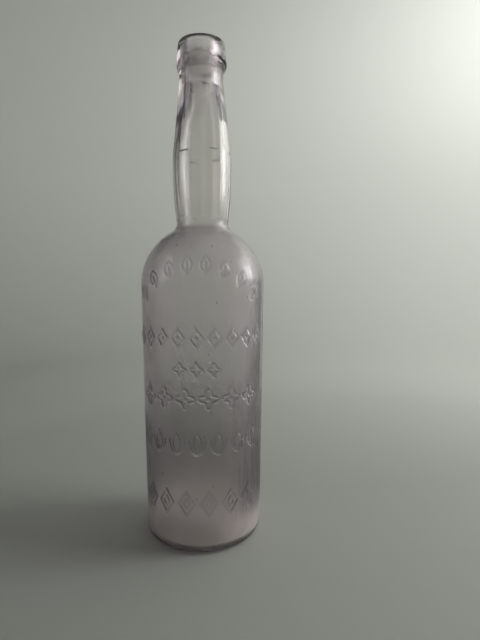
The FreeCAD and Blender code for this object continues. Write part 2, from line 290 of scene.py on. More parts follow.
def columns_of(row):
    """The columns where a row has vertices. A row of no radius is a pole and has one."""
    return row.columns if row.radius else row.columns[:1]


def around(radius, level, angle):
    """A point at an angle in degrees from the front, positive to the right, in metres."""
    turn = math.radians(angle)
    return Vector((radius * math.sin(turn), -radius * math.cos(turn), level)) * MM


def band_faces(lower, upper):
    """Faces of the band between two rings of (column, vertex) pairs that run the same way round.

    Rings with the same columns, or with a pole, are joined column by column. Others are joined
    by triangles, each on the ring whose next column comes first.
    """
    low_columns, low = zip(*lower)
    high_columns, high = zip(*upper)
    faces = []
    if low_columns == high_columns or 1 in (len(low), len(high)):
        count = max(len(low), len(high))
        low, high = low * (count // len(low)), high * (count // len(high))
        for number in range(count):
            after = (number + 1) % count
            corners = (low[number], low[after], high[after], high[number])
            faces.append(tuple(dict.fromkeys(corners)))
        return faces
    at_low, at_high = 0, 0
    while at_low < len(low) or at_high < len(high):
        next_low = low_columns[at_low + 1] if at_low + 1 < len(low) else HALF_TURN
        next_high = high_columns[at_high + 1] if at_high + 1 < len(high) else HALF_TURN
        corner_low, corner_high = low[at_low % len(low)], high[at_high % len(high)]
        if at_high >= len(high) or (at_low < len(low) and next_low <= next_high):
            faces.append((corner_low, low[(at_low + 1) % len(low)], corner_high))
            at_low += 1
        else:
            faces.append((corner_low, high[(at_high + 1) % len(high)], corner_high))
            at_high += 1
    return faces


def ease(low, high, value):
    """0 at low and 1 at high, smoothly; low may be the greater."""
    share = min(1.0, max(0.0, (value - low) / (high - low)))
    return share * share * (3 - 2 * share)


def bell(offset, width):
    """1 in the middle, fading to nothing on both sides."""
    return math.exp(-(offset / width) ** 2)


# Etched haze: full below the shoulder, little in the neck, and strong where a cork sat
HAZE_FULL = 174.0
HAZE_TOP = 190.0
NECK_HAZE = 0.12
CORK_HAZE = 0.75


def haze_at(level):
    """The inside is dull up to the shoulder, and the neck stays nearly clear."""
    return max(NECK_HAZE, ease(HAZE_TOP, HAZE_FULL, level))


def new_object(name, data):
    made = bpy.data.objects.new(name, data)
    bpy.context.scene.collection.objects.link(made)
    return made


def shell_mesh(name, rows, joined, uneven):
    """One closed skin over rows, from pole to pole, or with its last row joined to the first.

    It keeps the haze, the wear and the place on the unrolled wall of each vertex.
    """
    verts, faces, rings = [], [], []
    haze, wear, flat = [], [], []
    for row in rows:
        ring = []
        for column in columns_of(row):
            ring.append((column, len(verts)))
            angle = column * GRID_ANGLE
            outwards, upwards = uneven(row, angle)
            verts.append(around(row.radius + outwards, row.level + upwards, angle))
            haze.append(row.haze)
            wear.append(haze_at(row.level))
            reach = math.radians(angle) * SHOULDER_RADIUS
            flat += [reach * MM, row.along * MM, 0.0]
        rings.append(ring)
    for lower, upper in zip(rings, rings[1:] + rings[:1] if joined else rings[1:]):
        faces += band_faces(lower, upper)
    mesh = bpy.data.meshes.new(name)
    mesh.from_pydata(verts, [], faces)
    mesh.attributes.new("haze", "FLOAT", "POINT").data.foreach_set("value", haze)
    mesh.attributes.new("wear", "FLOAT", "POINT").data.foreach_set("value", wear)
    mesh.attributes.new("flat", "FLOAT_VECTOR", "POINT").data.foreach_set("vector", flat)
    mesh.shade_smooth()
    return mesh


# Moulded ornament on the front: rounded ridges, flat for a little at the top and sloping to a reach
RIDGE_TOP = 0.12
RIDGE_REACH = 0.85
RIDGE_HEIGHT = 0.64
# The mould struck unevenly: noise of this size, between these values, gives the least to the full height
STRIKE_SIZE = 30.0
STRIKE_NOISE = (0.3, 0.55)
LEAST_STRIKE = 0.7

# Into how many steps the motifs' curves are cut, and how deep the quatrefoil's lobes are
LEAF_STEPS = 10
BEAD_STEPS = 12
FOIL_STEPS = 36
TENDRIL_STEPS = 8
LOBES = 4
LOBE_DEPTH = 0.35


def full_turn(count):
    """Angles at even steps round a circle, in radians."""
    return [2 * math.pi * n / count for n in range(count)]


# Motifs are lines as (points, closed), about their middle
def leaf(length, width):
    """A pointed outline on its tip."""
    foot = Vector((0, -length / 2))
    stops = [(0.5, n) for n in range(LEAF_STEPS)] + [(-0.5, n) for n in range(LEAF_STEPS, 0, -1)]
    return [Vector((side * width * math.sin(math.pi * n / LEAF_STEPS), length * n / LEAF_STEPS)) + foot
            for side, n in stops], True


def vein(foot, tip):
    return [Vector((0, foot)), Vector((0, tip))], False


def lozenge(half_width, half_height):
    corners = ((half_width, 0), (0, half_height), (-half_width, 0), (0, -half_height))
    return [Vector(corner) for corner in corners], True


def bead(radius):
    return [Vector((math.cos(t), math.sin(t))) * radius for t in full_turn(BEAD_STEPS)], True


def quatrefoil(radius):
    return [Vector((math.cos(t), math.sin(t))) * radius * (1 + LOBE_DEPTH * math.cos(LOBES * t))
            for t in full_turn(FOIL_STEPS)], True


def tendril(spread, rise, foot):
    """A stroke that leaves the foot sideways and curls upwards."""
    turns = [0.5 * math.pi * n / TENDRIL_STEPS for n in range(TENDRIL_STEPS + 1)]
    return [Vector((spread * math.sin(t), foot + rise * (1 - math.cos(t)))) for t in turns], False


MOTIFS = {
    "garland_leaf": [leaf(9.4, 5.4), vein(-4.7, 1.2)],
    "beaded_lozenge": [lozenge(3.5, 4.7), bead(0.5)],
    "small_quatrefoil": [quatrefoil(2.4)],
    "quatrefoil": [quatrefoil(3.9), bead(0.5)],
    "sprig": [leaf(11.0, 4.6), tendril(4.4, 7.0, -5.5), tendril(-4.4, 7.0, -5.5)],
    "double_lozenge": [lozenge(4.7, 6.6), lozenge(1.9, 2.9)],
}
# Rows on the unrolled wall: the level is measured along it, and a row with a rise is an arch
OrnamentRow = namedtuple("OrnamentRow", "motif count pitch level rise")
ORNAMENT = [
    OrnamentRow("garland_leaf", 8, 10.2, 156.5, 15.0),
    OrnamentRow("beaded_lozenge", 9, 9.8, 118.0, 0.0),
    OrnamentRow("small_quatrefoil", 3, 9.2, 101.5, 0.0),
    OrnamentRow("quatrefoil", 6, 12.8, 86.0, 0.0),
    OrnamentRow("sprig", 7, 11.8, 62.0, 0.0),
    OrnamentRow("double_lozenge", 6, 12.8, 29.0, 0.0),
]


def ornament_spans(lines, along):
    """Columns that the ornament's lines reach at a height on the unrolled wall."""
    spans = []
    grid = math.radians(GRID_ANGLE) * SHOULDER_RADIUS
    for line in lines:
        low, high = sorted(line, key=lambda p: p.y)
        if not low.y - RIDGE_REACH < along < high.y + RIDGE_REACH:
            continue
        rise = max(high.y - low.y, FINE_STEP)
        near = [low.lerp(high, min(1.0, max(0.0, (along + way * RIDGE_REACH - low.y) / rise))).x
                for way in (-1, 1)]
        spans.append(((min(near) - RIDGE_REACH) / grid, (max(near) + RIDGE_REACH) / grid))
    return spans


def body_rows(lines):
    """Rows up the outside and down the inside, fine on the wall and dome where ornament's lines are."""
    rows = []
    along = HEEL_RADIUS
    for name, piece in outside_pieces().items():
        if name not in ("wall", "dome"):
            rows += [Row(p.x, p.y, PLAIN) for p in run_points(piece, OUTSIDE_STEPS[name])]
            continue
        points = run_points(piece, FINE_STEP)
        step = (points[1] - points[0]).length
        for number, p in enumerate(points):
            spans = ornament_spans(lines, along)
            if spans or number % PLAIN_ROWS == 0:
                rows.append(Row(p.x, p.y, ring_columns(WALL_COLUMNS, spans), along=along))
            along += step
    for name, piece in inside_pieces().items():
        corked = CORK_HAZE if name == "bore" else 0.0
        rows += [Row(p.x, p.y, PLAIN, inside=True, haze=max(corked, haze_at(p.y)))
                 for p in run_points(piece, INSIDE_STEPS[name])]
    rows.append(Row(0.0, KICK_HEIGHT + BASE_THICKNESS, PLAIN, inside=True, haze=1.0))
    return rows


# Waves in the glass: their height and size, a seed, and a share below 1 that draws them out upwards
Wave = namedtuple("Wave", "height size seed upright", defaults=(1.0,))
# How far each step of the seed moves through the noise
SEED_STEP = (1.0, 2.7, -1.3)


def waves(place, kinds):
    """The sum of smooth noises at a place, each from minus to plus its height."""
    total = 0.0
    for wave in kinds:
        apart = Vector([way * wave.seed for way in SEED_STEP])
        squeezed = place * Vector((1, 1, wave.upright))
        total += wave.height * noise.noise(squeezed / (wave.size * MM) + apart)
    return total


# The body's waves, and where they fade out: below the lip, near the axis and at the foot
INSIDE_WAVES = (Wave(0.45, 42, 1), Wave(0.18, 15, 2), Wave(0.2, 7, 9, upright=0.08))
OUTSIDE_WAVES = (Wave(0.13, 36, 3), Wave(0.03, 9, 4))
CALM_BELOW_LIP = 1.0
WAVY_BELOW_LIP = 8.0
CALM_RADIUS = 4.0
WAVY_RADIUS = 14.0
CALM_FOOT = 0.5
WAVY_FOOT = 3.0

# Streaks drawn out up the neck, between the levels where they start and where they are full
INSIDE_STREAKS = (Wave(0.25, 3.5, 10, upright=0.06),)
INSIDE_STREAK_LEVELS = (176.0, 190.0)
OUTSIDE_STREAK_LEVELS = (176.0, 188.0)
OUTSIDE_STREAK_HEIGHT = 0.06
STREAKS_PER_DEGREE = 0.16
STREAKS_PER_MM = 0.012
STREAK_SEED = 8.0

# The throat leans to the right, from its foot to a full lean that fades again up to the lip
THROAT_LEAN = 0.8
LEAN_FOOT = 205.0
LEAN_FULL = 245.0
LEAN_FADES = 246.0

# Mould seams, whose width is in degrees, run out below the crease
SEAM_HEIGHT = 0.22
SEAM_WIDTH = 0.6
SEAM_FADES = 212.0

# A hairline groove round the neck, in stretches, tilted
HAIRLINE_LEVEL = 218.6
HAIRLINE_TILT = 0.9
HAIRLINE_DEPTH = 0.5
HAIRLINE_WIDTH = 0.3
HAIRLINE_STRETCHES = 6
HAIRLINE_ENDS = (0.1, 0.8)


def body_uneven(row, angle):
    """How far the blown glass strays from the true form, in millimetres outwards and upwards."""
    place = around(row.radius, row.level, angle)
    rightwards = math.sin(math.radians(angle))
    clear_of_lip = ease(LIP_FOOT - CALM_BELOW_LIP, LIP_FOOT - WAVY_BELOW_LIP, row.level)
    clear_of_axis = ease(CALM_RADIUS, WAVY_RADIUS, row.radius)
    if row.inside:
        streaks = ease(*INSIDE_STREAK_LEVELS, row.level) * waves(place, INSIDE_STREAKS)
        throat = ease(LEAN_FOOT, LEAN_FULL, row.level) * ease(LIP_FOOT, LEAN_FADES, row.level)
        strays = waves(place, INSIDE_WAVES) + streaks + THROAT_LEAN * throat * rightwards
        return strays * clear_of_lip * clear_of_axis, 0.0
    streak = noise.noise(Vector((STREAKS_PER_DEGREE * angle, STREAKS_PER_MM * row.level, STREAK_SEED)))
    streaks = OUTSIDE_STREAK_HEIGHT * ease(*OUTSIDE_STREAK_LEVELS, row.level) * streak
    seam = bell(abs(angle) - SEAM_COLUMN * GRID_ANGLE, SEAM_WIDTH)
    seam *= ease(CREASE_LEVEL, SEAM_FADES, row.level)
    stretches = ease(*HAIRLINE_ENDS, math.cos(math.radians(HAIRLINE_STRETCHES * angle + 180)))
    hairline = bell(row.level - HAIRLINE_LEVEL - HAIRLINE_TILT * rightwards, HAIRLINE_WIDTH)
    strays = (waves(place, OUTSIDE_WAVES) + streaks) * clear_of_lip
    strays += SEAM_HEIGHT * seam - HAIRLINE_DEPTH * stretches * hairline
    return strays * ease(CALM_FOOT, WAVY_FOOT, row.level) * clear_of_axis, 0.0


def lip_rows():
    rows = []
    columns = list(range(-HALF_TURN, HALF_TURN, LIP_COLUMNS))
    for name, piece in lip_pieces().items():
        hidden = name in ("step", "socket")
        corked = CORK_HAZE if name == "bore" else 0.0
        rows += [Row(p.x, p.y, columns, inside=hidden, haze=corked) for p in run_points(piece, LIP_STEP)]
    return rows


# The lip's waves, and how much it bulges to the right
LIP_WAVES = (Wave(0.16, 11, 5), Wave(0.1, 5, 6))
LOPSIDED = 0.4

# The lap where the laid-on glass meets itself: a groove that falls towards its end
FOLD_RISE = 5.6
FOLD_SLOPE = 0.045
FOLD_START = 18.0
FOLD_END = 110.0
FOLD_FADE = 14.0
FOLD_DEPTH = 1.0
FOLD_WIDTH = 0.6

# The foot sags, less to the right, and most where it has melted into the neck, between these angles
SAG = 0.7
SAG_TILT = 0.5
SAG_REACH = 7.0
SOCKET_SAG_REACH = 4.0
FUSED_SAG = 0.9
FUSED_SPAN = (-50.0, -20.0, 45.0, 75.0)
NECK_FLARE = 0.05


def socket_radius(level):
    """The socket's wall, which lies along the neck's drawn-in end and, below it, along the neck."""
    above = level - LIP_FOOT
    taper = (NECK_TOP_RADIUS - NECK_END_RADIUS) / (NECK_END - LIP_FOOT)
    return NECK_TOP_RADIUS - FUSED_OVERLAP - above * (taper if above > 0 else NECK_FLARE)


def lip_uneven(row, angle):
    """Waves left by the lipping tool, a lap in the laid-on glass, and a foot that sags and melts in."""
    left_out, left_in, right_in, right_out = FUSED_SPAN
    fused = ease(left_out, left_in, angle) * ease(right_out, right_in, angle)
    rightwards = math.sin(math.radians(angle))
    reach = SOCKET_SAG_REACH if row.inside else SAG_REACH
    sag = SAG - SAG_TILT * rightwards + FUSED_SAG * fused
    sag *= ease(LIP_FOOT + reach, LIP_FOOT, row.level)
    if row.inside:
        return (socket_radius(row.level - sag) - row.radius if sag else 0.0), -sag
    flare = NECK_FLARE * sag
    if row.radius < NECK_TOP_RADIUS:
        return flare, -sag
    grown = ease(LIP_FOOT - LIP_TOE, LIP_FOOT + LIP_TUCK, row.level)
    strays = waves(around(row.radius, row.level, angle), LIP_WAVES) + LOPSIDED * (1 + rightwards)
    fold_level = LIP_FOOT + FOLD_RISE - FOLD_SLOPE * (angle - FOLD_START)
    fold = bell(row.level - fold_level, FOLD_WIDTH)
    fold *= ease(FOLD_START - FOLD_FADE, FOLD_START + FOLD_FADE, angle)
    fold *= ease(FOLD_END, FOLD_END - FOLD_FADE, angle)
    melted = 0.0
    if row.level < LIP_FOOT + LIP_TUCK:
        spread = LIP_RADIUS - NECK_TOP_RADIUS - FUSED_OVERLAP
        soft = NECK_TOP_RADIUS + FUSED_OVERLAP + spread * ease(LIP_FOOT, LIP_FOOT + LIP_TUCK, row.level)
        melted = fused * (soft - row.radius)
    return strays * grown + melted + flare - FOLD_DEPTH * fold, -sag


def add(tree, kind, links=None, **settings):
    """Add a node with its settings, and link or set its inputs."""
    node = tree.nodes.new(kind)
    for key, value in settings.items():
        setattr(node, key, value)
    for socket, source in (links or {}).items():
        if isinstance(source, bpy.types.NodeSocket):
            tree.links.new(source, node.inputs[socket])
        else:
            node.inputs[socket].default_value = source
    return node


def linear(code):
    """An sRGB hex colour as linear RGBA."""
    parts = [int(code[start:start + 2], 16) / 255 for start in (1, 3, 5)]
    return [p / 12.92 if p <= 0.04045 else ((p + 0.055) / 1.055) ** 2.4 for p in parts] + [1.0]


def new_tree(name, inputs):
    """An empty Geometry Nodes tree with a geometry in, named inputs and a geometry out."""
    tree = bpy.data.node_groups.new(name, "GeometryNodeTree")
    tree.interface.new_socket("Geometry", in_out="INPUT", socket_type="NodeSocketGeometry")
    for label, kind in inputs.items():
        tree.interface.new_socket(label, in_out="INPUT", socket_type="NodeSocket" + kind)
    tree.interface.new_socket("Geometry", in_out="OUTPUT", socket_type="NodeSocketGeometry")
    return tree, add(tree, "NodeGroupInput").outputs


def baked(piece, tree, values):
    """The piece's mesh as the tree makes it with those values for its named inputs."""
    modifier = piece.modifiers.new(tree.name, "NODES")
    modifier.node_group = tree
    for item in tree.interface.items_tree:
        if item.in_out == "INPUT" and item.name in values:
            modifier[item.identifier] = values[item.name]
    bpy.context.view_layer.update()
    graph = bpy.context.evaluated_depsgraph_get()
    mesh = bpy.data.meshes.new_from_object(piece.evaluated_get(graph), preserve_all_data_layers=True,
                                           depsgraph=graph)
    piece.modifiers.clear()
    return mesh


def ornament_row_tree():
    """Sets a motif along a row on the unrolled wall.

    A row with a rise is an arch, and its motifs lean with it.
    """
    tree, given = new_tree("ornament_row", {
        "Count": "Int", "Pitch": "Float", "Level": "Float", "Rise": "Float"})
    spaces = add(tree, "ShaderNodeMath", {0: given["Count"], 1: 1.0}, operation="SUBTRACT")
    length = add(tree, "ShaderNodeMath", {0: spaces.outputs[0], 1: given["Pitch"]}, operation="MULTIPLY")
    half = add(tree, "ShaderNodeMath", {0: length.outputs[0], 1: 0.5}, operation="MULTIPLY")
    back = add(tree, "ShaderNodeMath", {0: half.outputs[0], 1: -1.0}, operation="MULTIPLY")
    start = add(tree, "ShaderNodeCombineXYZ", {"X": back.outputs[0], "Y": given["Level"]})
    step = add(tree, "ShaderNodeCombineXYZ", {"X": given["Pitch"]})
    line = add(tree, "GeometryNodeMeshLine", {
        "Count": given["Count"], "Start Location": start.outputs[0], "Offset": step.outputs[0]})
    place = add(tree, "GeometryNodeInputPosition")
    parts = add(tree, "ShaderNodeSeparateXYZ", {0: place.outputs[0]})
    share = add(tree, "ShaderNodeMath", {0: parts.outputs["X"], 1: half.outputs[0]}, operation="DIVIDE")
    square = add(tree, "ShaderNodeMath", {0: share.outputs[0], 1: share.outputs[0]}, operation="MULTIPLY")
    drop = add(tree, "ShaderNodeMath", {0: square.outputs[0], 1: given["Rise"]}, operation="MULTIPLY")
    down = add(tree, "ShaderNodeMath", {0: drop.outputs[0], 1: -1.0}, operation="MULTIPLY")
    offset = add(tree, "ShaderNodeCombineXYZ", {"Y": down.outputs[0]})
    arch = add(tree, "GeometryNodeSetPosition", {
        "Geometry": line.outputs[0], "Offset": offset.outputs[0]})
    steep = add(tree, "ShaderNodeMath", {0: given["Rise"], 1: half.outputs[0]}, operation="DIVIDE")
    twice = add(tree, "ShaderNodeMath", {0: steep.outputs[0], 1: -2.0}, operation="MULTIPLY")
    slope = add(tree, "ShaderNodeMath", {0: twice.outputs[0], 1: share.outputs[0]}, operation="MULTIPLY")
    lean = add(tree, "ShaderNodeMath", {0: slope.outputs[0]}, operation="ARCTANGENT")
    turn = add(tree, "ShaderNodeCombineXYZ", {"Z": lean.outputs[0]})
    rotation = add(tree, "FunctionNodeEulerToRotation", {0: turn.outputs[0]})
    motifs = add(tree, "GeometryNodeInstanceOnPoints", {
        "Points": arch.outputs[0], "Instance": given["Geometry"], "Rotation": rotation.outputs[0]})
    whole = add(tree, "GeometryNodeRealizeInstances", {0: motifs.outputs[0]})
    add(tree, "NodeGroupOutput", {0: whole.outputs[0]})
    return tree


def motif_mesh(name):
    verts, edges = [], []
    for points, closed in MOTIFS[name]:
        first, count = len(verts), len(points)
        verts += [Vector((p.x, p.y, 0)) * MM for p in points]
        edges += [(first + n, first + n + 1) for n in range(count - 1)]
        if closed:
            edges.append((first + count - 1, first))
    mesh = bpy.data.meshes.new(name)
    mesh.from_pydata(verts, edges, [])
    return mesh


def ornament_plan():
    """All rows as lines on the unrolled wall."""
    tree = ornament_row_tree()
    verts, edges = [], []
    for row in ORNAMENT:
        motif = new_object("motif", motif_mesh(row.motif))
        mesh = baked(motif, tree, {"Count": row.count, "Pitch": row.pitch * MM,
                                   "Level": row.level * MM, "Rise": row.rise * MM})
        first = len(verts)
        verts += [v.co.copy() for v in mesh.vertices]
        edges += [tuple(first + index for index in edge.vertices) for edge in mesh.edges]
        bpy.data.objects.remove(motif)
    plan = bpy.data.meshes.new("ornament_plan")
    plan.from_pydata(verts, edges, [])
    return new_object("ornament_plan", plan)


# Seeds of trapped air: how many, the seed of their draw, how deep, how large and how drawn out
SEEDS_PER_M2 = 3000.0
SEED_DRAW = 11
SEED_DEPTH = 1.4
SMALLEST_SEED = 0.1
LARGEST_SEED = 0.38
SEED_LENGTH = 1.7


def moulded_glass_tree():
    """Raises the ornament's lines as rounded ridges, unevenly struck, and adds seeds of trapped air."""
    tree, given = new_tree("moulded_glass", {
        "Plan": "Object", "Ridge Top": "Float", "Ridge Reach": "Float", "Ridge Height": "Float",
        "Strike Size": "Float", "Seeds per m2": "Float", "Seed": "Int", "Seed Depth": "Float",
        "Smallest Seed": "Float", "Largest Seed": "Float", "Glass": "Material"})
    plan = add(tree, "GeometryNodeObjectInfo", {"Object": given["Plan"]})
    flat = add(tree, "GeometryNodeInputNamedAttribute", {"Name": "flat"}, data_type="FLOAT_VECTOR")
    nearest = add(tree, "GeometryNodeProximity", {
        "Geometry": plan.outputs["Geometry"], "Sample Position": flat.outputs["Attribute"]},
        target_element="EDGES")
    ridge = add(tree, "ShaderNodeMapRange", {
        "Value": nearest.outputs["Distance"],
        "From Min": given["Ridge Top"], "From Max": given["Ridge Reach"],
        "To Min": 1.0, "To Max": 0.0}, interpolation_type="SMOOTHSTEP")
    fine = add(tree, "ShaderNodeMath", {0: 1.0, 1: given["Strike Size"]}, operation="DIVIDE")
    strike = add(tree, "ShaderNodeTexNoise", {
        "Vector": flat.outputs["Attribute"], "Scale": fine.outputs[0], "Detail": 1.0})
    weak, full = STRIKE_NOISE
    depth = add(tree, "ShaderNodeMapRange", {
        "Value": strike.outputs[0], "From Min": weak, "From Max": full,
        "To Min": LEAST_STRIKE, "To Max": 1.0})
    relief = add(tree, "ShaderNodeMath", {0: ridge.outputs[0], 1: depth.outputs[0]}, operation="MULTIPLY")
    kept = add(tree, "GeometryNodeStoreNamedAttribute", {
        "Geometry": given["Geometry"], "Name": "relief", "Value": relief.outputs[0]},
        data_type="FLOAT", domain="POINT")
    height = add(tree, "ShaderNodeMath", {
        0: relief.outputs[0], 1: given["Ridge Height"]}, operation="MULTIPLY")
    normal = add(tree, "GeometryNodeInputNormal")
    offset = add(tree, "ShaderNodeVectorMath", {
        0: normal.outputs[0], "Scale": height.outputs[0]}, operation="SCALE")
    raised = add(tree, "GeometryNodeSetPosition", {
        "Geometry": kept.outputs[0], "Offset": offset.outputs[0]})
    skin = add(tree, "GeometryNodeInputNamedAttribute", {"Name": "skin"}, data_type="FLOAT")
    spots = add(tree, "GeometryNodeDistributePointsOnFaces", {
        "Mesh": given["Geometry"], "Selection": skin.outputs["Attribute"],
        "Density": given["Seeds per m2"], "Seed": given["Seed"]})
    inward = add(tree, "ShaderNodeMath", {0: given["Seed Depth"], 1: -1.0}, operation="MULTIPLY")
    sink = add(tree, "ShaderNodeVectorMath", {
        0: spots.outputs["Normal"], "Scale": inward.outputs[0]}, operation="SCALE")
    sunk = add(tree, "GeometryNodeSetPosition", {
        "Geometry": spots.outputs["Points"], "Offset": sink.outputs[0]})
    ball = add(tree, "GeometryNodeMeshIcoSphere", {"Radius": 1.0, "Subdivisions": 2})
    smooth = add(tree, "GeometryNodeSetShadeSmooth", {"Geometry": ball.outputs[0]})
    void = add(tree, "GeometryNodeFlipFaces", {"Mesh": smooth.outputs[0]})
    size = add(tree, "FunctionNodeRandomValue", {
        2: given["Smallest Seed"], 3: given["Largest Seed"], "Seed": given["Seed"]}, data_type="FLOAT")
    long = add(tree, "ShaderNodeMath", {0: size.outputs[1], 1: SEED_LENGTH}, operation="MULTIPLY")
    form = add(tree, "ShaderNodeCombineXYZ", {
        "X": size.outputs[1], "Y": size.outputs[1], "Z": long.outputs[0]})
    seeds = add(tree, "GeometryNodeInstanceOnPoints", {
        "Points": sunk.outputs[0], "Instance": void.outputs[0], "Scale": form.outputs[0]})
    whole = add(tree, "GeometryNodeJoinGeometry", {0: seeds.outputs[0]})
    tree.links.new(raised.outputs[0], whole.inputs[0])
    real = add(tree, "GeometryNodeRealizeInstances", {0: whole.outputs[0]})
    dressed = add(tree, "GeometryNodeSetMaterial", {
        "Geometry": real.outputs[0], "Material": given["Glass"]})
    add(tree, "NodeGroupOutput", {0: dressed.outputs[0]})
    return tree


def new_material(name):
    material = bpy.data.materials.new(name)
    material.use_nodes = True
    material.node_tree.nodes.clear()
    return material, material.node_tree


# Old glass: nearly white where it is clean, amethyst in its depth, with a tinted shadow
GLASS_IOR = 1.51
GLASS_COLOUR = "#F8F7F5"
AMETHYST_COLOUR = "#ECE0EB"
AMETHYST_DENSITY = 48.0
SHADOW_COLOUR = "#C5C2C4"

# Handling scuffs outside and etching inside: their size, the noise they lie in, the roughness they add
SCUFF_SIZE = 7.0
SCUFF_NOISE = (0.42, 0.72)
SCUFF_ROUGHNESS = 0.1
RELIEF_ROUGHNESS = 0.04
ETCH_SIZE = 24.0
ETCH_NOISE = (0.3, 0.7)
ETCH_ROUGHNESS = 0.1

# Grime with painted contact shade at the foot, and grime with painted shade on the relief's slopes: how
# much at a low and at a high level
GRIME_AND_SHADE_COLOUR = "#7E7679"
FOOT_GRIME_SHADE_FULL = 0.5
FOOT_GRIME_SHADE_TOP = 2.4
RELIEF_GRIME_SHADE = (2.4, 1.3)
RELIEF_GRIME_SHADE_LEVELS = (25.0, 75.0)

# Pale residue settled low inside
RESIDUE_COLOUR = "#F1ECE2"
RESIDUE_FULL = 12.0
RESIDUE_TOP = 24.0
RESIDUE = 1.3

# Fine lines drawn up the glass
DRAW_WIDTH = 1.2
DRAW_LENGTH = 45.0
DRAW_DEPTH = 0.08
DRAW_STRENGTH = 0.5

# Mauve streaks, from none to full: in the drawn lines' noise, rightwards, downwards and on bare glass
MAUVE_STREAK_COLOUR = "#A0909C"
MAUVE_STREAK_LINES = (0.42, 0.62)
MAUVE_STREAK_SIDE = (15.0, 27.0)
MAUVE_STREAK_LEVELS = (98.0, 80.0)
MAUVE_STREAK_CLEAN = (0.25, 1.0)


def glass_roughness(tree, spots, haze, etching, gloss, worn, dull):
    """Gloss that handling has scuffed and rubbed on the relief, and a dull etch where glass is hazed."""
    wear = add(tree, "ShaderNodeAttribute", attribute_name="wear").outputs["Fac"]
    relief = add(tree, "ShaderNodeAttribute", attribute_name="relief").outputs["Fac"]
    scuffs = add(tree, "ShaderNodeTexNoise", {
        "Vector": spots, "Scale": 1 / (SCUFF_SIZE * MM), "Detail": 6.0, "Roughness": 0.65})
    low, high = SCUFF_NOISE
    scuffed = add(tree, "ShaderNodeMapRange", {
        "Value": scuffs.outputs[0], "From Min": low, "From Max": high,
        "To Min": gloss, "To Max": gloss + SCUFF_ROUGHNESS})
    handled = add(tree, "ShaderNodeMath", {
        0: wear, 1: worn - gloss, 2: scuffed.outputs[0]}, operation="MULTIPLY_ADD")
    rubbed = add(tree, "ShaderNodeMath", {
        0: relief, 1: RELIEF_ROUGHNESS, 2: handled.outputs[0]}, operation="MULTIPLY_ADD")
    low, high = ETCH_NOISE
    etched = add(tree, "ShaderNodeMapRange", {
        "Value": etching, "From Min": low, "From Max": high,
        "To Min": dull - ETCH_ROUGHNESS, "To Max": dull + ETCH_ROUGHNESS})
    rough = add(tree, "ShaderNodeMix", {"Factor": haze, 2: rubbed.outputs[0], 3: etched.outputs[0]})
    return rough.outputs[0]


def grime_and_painted_shade(tree, level):
    """How much grime with painted contact shade darkens the foot, and grime with painted shade the slopes
    of the relief, more of it low down.
    """
    # Painted contact shade, with grime, over the lowest millimetres of the foot
    foot = add(tree, "ShaderNodeMapRange", {
        "Value": level, "From Min": FOOT_GRIME_SHADE_FULL * MM, "From Max": FOOT_GRIME_SHADE_TOP * MM,
        "To Min": 1.0, "To Max": 0.0})
    relief = add(tree, "ShaderNodeAttribute", attribute_name="relief").outputs["Fac"]
    # Painted shade, with grime, on the relief's slopes
    bare = add(tree, "ShaderNodeMath", {0: 1.0, 1: relief}, operation="SUBTRACT")
    slope = add(tree, "ShaderNodeMath", {0: relief, 1: bare.outputs[0]}, operation="MULTIPLY")
    low, high = RELIEF_GRIME_SHADE_LEVELS
    most, least = RELIEF_GRIME_SHADE
    relief_darkening = add(tree, "ShaderNodeMapRange", {
        "Value": level, "From Min": low * MM, "From Max": high * MM, "To Min": most, "To Max": least})
    darkened = add(tree, "ShaderNodeMath", {
        0: slope.outputs[0], 1: relief_darkening.outputs[0], 2: foot.outputs[0]},
        operation="MULTIPLY_ADD", use_clamp=True)
    return darkened.outputs[0]


def settled_residue(tree, level, film):
    """How much pale residue lies on the film low inside."""
    settled = add(tree, "ShaderNodeMapRange", {
        "Value": level, "From Min": RESIDUE_FULL * MM, "From Max": RESIDUE_TOP * MM,
        "To Min": RESIDUE, "To Max": 0.0})
    residue = add(tree, "ShaderNodeMath", {
        0: settled.outputs[0], 1: film}, operation="MULTIPLY", use_clamp=True)
    return residue.outputs[0]


def mauve_streaks(tree, haze, lines, rightwards, level, clean):
    """How much mauve streaks run down the hazed glass on the right, above the residue."""
    streaked = haze
    for value, (none, full), unit in ((lines, MAUVE_STREAK_LINES, 1.0), (rightwards, MAUVE_STREAK_SIDE, MM),
                                      (level, MAUVE_STREAK_LEVELS, MM), (clean, MAUVE_STREAK_CLEAN, 1.0)):
        share = add(tree, "ShaderNodeMapRange", {
            "Value": value, "From Min": none * unit, "From Max": full * unit})
        both = add(tree, "ShaderNodeMath", {0: streaked, 1: share.outputs[0]}, operation="MULTIPLY")
        streaked = both.outputs[0]
    return streaked


